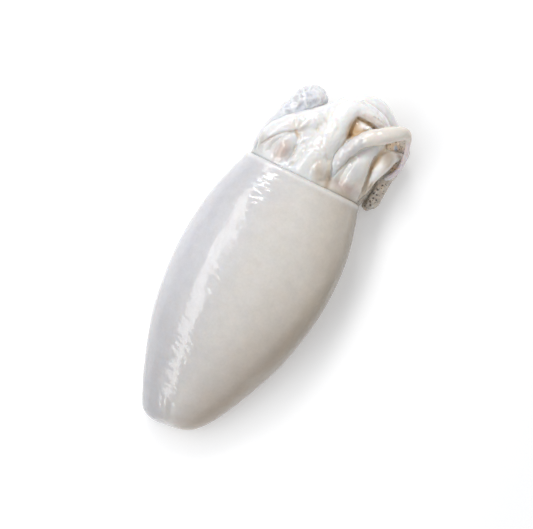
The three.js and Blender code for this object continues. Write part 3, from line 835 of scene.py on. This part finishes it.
# THE CLUB LIMB. A long feeding arm that runs up the left edge from the mouth; its end widens into a thin,
# see-through club, crinkled by the rows of small suckers under its skin.
club_route = [
    [-25.9, -9, 15, 4.8], [-30.4, 1.4, 18, 4.6], [-29.7, 10.9, 20, 4.5], [-27.6, 19.8, 21.5, 4.8],
    [-24.0, 27.6, 21.5, 5.8], [-20.4, 34.6, 20, 6.6], [-17.2, 40.4, 18, 7.2], [-14.2, 44.3, 16, 6.2],
    [-11.3, 44.6, 13, 4.2]]
club_grain, club_softness = 0.45 * mm, 4
club_path, crinkle_height = [(-19.7, 31.6), (-17.5, 38.3), (-13.0, 43.9), (-5.1, 43.9)], 0.55
vein_path, vein_width, vein_height = [(-22.5, 30.4), (-23.1, 25.9), (-24.2, 19.2)], 1.4, 0.4
grey_path = [(-29.9, -1.1), (-28.7, 4.5), (-27.0, 9.0)]
shade_place, highlight_place = (-2.8, 42.8), (-10.7, 46.2)
club_pearl, crinkle_grey_and_shade, crinkle_white = (0.70, 0.71, 0.735), (0.50, 0.51, 0.56), (0.80, 0.80, 0.83)
club_shade, club_painted_highlight, arm_grey = (0.45, 0.46, 0.5), (0.9, 0.9, 0.92), (0.5, 0.49, 0.48)

club_limb = melt([flesh_rope("club_limb", club_route)], "club_limb", club_grain, club_softness)
bpy.ops.object.shade_smooth()
places, normals, spots = set_in_mouth(club_limb)
club = np.clip(1.6 * stroke(spots, club_path, 9, 0.6, 0.0), 0, 1)
crinkle = 1 - 2 * np.abs(mottle(places, (3.4, 4.6, 3.4), 8.2))
crinkle += 0.6 * (1 - 2 * np.abs(mottle(places, (1.7, 2.3, 1.7), 4.9)))
push = club * crinkle_height * crinkle + (1 - club) * 0.3 * mottle(places, (3, 4, 3))
push += stroke(spots, vein_path, vein_width) * vein_height
places = push_out(club_limb, places, normals, push)
fine = hollows(club_limb, 5) / mm
paint(club_limb, coloured(places, club_pearl, [
    # grey in the crinkles' hollows, partly their own grey and partly painted shade
    (crinkle_grey_and_shade, club * np.clip(0.55 - crinkle * 0.5, 0, 1)),
    (crinkle_white, club * np.clip(crinkle * 0.8 - 0.5, 0, 1)),
    (club_shade, dab(spots, shade_place, (3.4, 4.6)) * 0.8),
    # painted highlight on the club's top
    (club_painted_highlight, dab(spots, highlight_place, (7, 5)) * 0.9),
    (arm_grey, stroke(spots, grey_path, 4.0, 0.8) * 0.6),
    # painted shade in the hollows
    (blue_grey_shade, np.clip(fine * 2, 0, 0.5)),
]))
club_limb.data.materials.append(limb_flesh)
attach(club_limb, "root")
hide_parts("head_and_limbs")


# THE LONG TENTACLE. The smooth round one on top of the bunch: it rises beside the middle limb, arches
# over to the right and thins into a pink strand with tiny buds, which hangs down the outside.
tentacle_route = [
    [14.0, -6.2, 23, 1.0], [14.3, 2.4, 28.6, 0.9], [13.9, 7.2, 30.8, 2.0], [13.2, 12.3, 31.6, 3.2],
    [13.6, 16, 32.2, 3.8], [14.0, 19.6, 33, 4.1], [16.3, 24.8, 34.4, 4.1], [20.1, 31.0, 36.0, 4.3],
    [23.8, 34.7, 37.0, 4.7], [27.8, 37.4, 37.2, 4.8], [31.8, 40.4, 36.8, 4.6], [35.6, 43.2, 35.4, 4.3],
    [39.2, 45.2, 33.6, 3.7], [42.3, 44.6, 31, 2.6], [44.4, 41.2, 27.5, 1.6], [45.9, 36.5, 23.5, 1.5],
    [46.7, 31.3, 19.8, 1.5], [46.2, 27.0, 17.4, 1.5], [44.3, 22.8, 16, 1.5], [42.3, 20.1, 15.2, 1.4]]
tentacle_grain, tentacle_softness = 0.4 * mm, 4
strand_path = [(49.0, 38.9), (51.3, 33.8), (51.3, 28.2), (49.0, 23.7), (44.5, 19.2)]
root_path = [(20.8, 30.4), (17.5, 21.4), (15.8, 13.5), (16.3, 4.5)]
root_tip, bud_size, bud_height = [(16.3, 1.1), (16.3, 4.5), (16.3, 7.3)], 1.0, 0.35
tentacle_cream, tentacle_shade_tan, root_grey = (0.79, 0.75, 0.69), (0.64, 0.54, 0.41), (0.66, 0.655, 0.665)
root_tan, strand_pink = (0.56, 0.45, 0.37), (0.77, 0.69, 0.72)

tentacle = melt([flesh_rope("long_tentacle", tentacle_route)], "long_tentacle", tentacle_grain,
                tentacle_softness)
bpy.ops.object.shade_smooth()
places, normals, spots = set_in_mouth(tentacle)
strand = np.clip(2 * stroke(spots, strand_path, 6, 0.6, 0.0), 0, 1)
root = np.clip(2 * stroke(spots, root_path, 7, 0.6, 0.0), 0, 1)
push = 0.25 * mottle(places, (3.5, 3.5, 3.5), 1.9)
push += strand * bud_height * np.maximum(0, mottle(places, (bud_size,) * 3, 3.7))
push += root * (0.3 * mottle(places, (1.8, 2.2, 1.8), 6.3) + 0.3 * mottle(places, (3.6, 3, 3)))
places = push_out(tentacle, places, normals, push)
# Painted shade: the tentacle's underside and right-facing side are tinted tan.
shaded_sides = np.clip(0.6 - normals[:, 2] * 0.9 + normals[:, 0] * 0.35, 0, 1)
paint(tentacle, coloured(places, tentacle_cream, [
    (tentacle_shade_tan, shaded_sides * 0.7),
    (root_grey, root * 0.8 * (1 - shaded_sides)),
    (root_tan, stroke(spots, root_tip, 3) * 0.5),
    (strand_pink, strand * 0.9),
]), dots=strand * 0.15)
tentacle.data.materials.append(limb_flesh)
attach(tentacle, "root")
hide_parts("head_and_limbs")


# THE SPECKLED LIMB. One arm on the right is folded back beside the mouth. Its outer skin was left on:
# grey-brown, wrinkled, and dotted with the dark pigment cells of the living animal.
speckled_route = [
    [25.6, -9.0, 11, 5.5], [31.6, 8.1, 11.6, 5.9], [34.7, 20.6, 12.4, 6.0], [35.7, 31.8, 14.2, 6.2],
    [38.8, 38.2, 15.8, 6.0], [42.3, 38.5, 14.8, 5.0], [44.1, 33.1, 12.8, 4.0], [43.0, 25.8, 11.4, 4.0],
    [41.4, 18.4, 10.6, 4.3], [40.9, 11.1, 9.6, 4.7], [40.3, 4.9, 8.6, 4.5], [39.6, 2.6, 8, 3.2]]
speckled_grain, speckled_softness = 0.45 * mm, 3
skin_brown, skin_grey, wrinkle_shade_brown = (0.62, 0.55, 0.47), (0.66, 0.61, 0.55), (0.26, 0.2, 0.15)
fold_tan, sheen_blue, crevice_shade_brown = (0.66, 0.52, 0.38), (0.42, 0.47, 0.55), (0.3, 0.2, 0.12)
warm_patch, crevice_tan_shade, edge_shade_brown = (0.8, 0.66, 0.53), (0.72, 0.54, 0.36), (0.2, 0.16, 0.10)
# Each patch is its colour, place, half sizes, turn and strength.
skin_patches = [
    (fold_tan, (41.1, 38.3), (8, 6), 0.0, 1.3),
    (sheen_blue, (42.8, 37.7), (1.4, 2.6), 0.5, 1.5),
    # painted shade in the crevice beside the folded limb
    (crevice_shade_brown, (45.6, 23.1), (1.8, 2.0), 0.0, 0.5),
    # a warmer patch of skin
    (warm_patch, (44.5, 15.2), (4.5, 5.5), 0.0, 0.6),
    # painted shade in the same crevice, tan at its top
    (crevice_tan_shade, (46.8, 27.0), (3, 4), 0.0, 1.2),
]
inner_edge = [(41.1, 19.2), (41.1, 10.1), (41.1, 2.3)]
speckle_black, speckle_size = (0.05, 0.04, 0.03), (0.8, 0.8)
speckles = [(43.7, 12.4), (42.8, 9.6), (44.5, 9.6), (43.7, 7.1), (42.8, 4.8), (45.1, 15.8), (43.9, 2.8),
            (45.6, 6.8)]

speckled = melt([flesh_rope("speckled_limb", speckled_route)], "speckled_limb", speckled_grain,
                speckled_softness)
bpy.ops.object.shade_smooth()
places, normals = corners_of(speckled)
spots = seen(places)
wrinkles = 1 - 2 * np.abs(mottle(places, (2.2, 5, 2.2), 5.5))
push = 0.45 * wrinkles + 0.25 * mottle(places, (1.4, 1.4, 1.4), 2.2)
places = push_out(speckled, places, normals, push)
fine = hollows(speckled, 4) / mm
patches = mottle(places, (2.4, 2.8, 2.4), 9.9)
colours = coloured(places, skin_brown, [
    (skin_grey, np.clip(patches * 2 + 0.1, 0, 0.8)),
    # painted shade in the wrinkles' hollows
    (wrinkle_shade_brown, np.clip(fine * 3.4, 0, 0.6)),
    *((colour, dab(spots, place, size, turn) * strength)
      for colour, place, size, turn, strength in skin_patches),
    # painted shade along the inner edge, where the limb meets the bunch
    (edge_shade_brown, stroke(spots, inner_edge, 1.5) * 0.9),
])
for speckle in speckles:
    colours = tint(colours, speckle_black, dab(spots, speckle, speckle_size) * 1.6)
paint(speckled, colours, dots=0.8)
speckled.data.materials.append(wet_flesh(
    "speckled skin", roughness=0.42, wetness=0.6, film=0.12, blotch=0.15,
    ripple={"size": (1.6 * mm, 2.2 * mm, 1.6 * mm), "turn": 0.0, "height": 0.3 * mm},
    grain={"size": 0.5 * mm, "height": 0.08 * mm}))
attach(speckled, "root")
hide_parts("head_and_limbs")
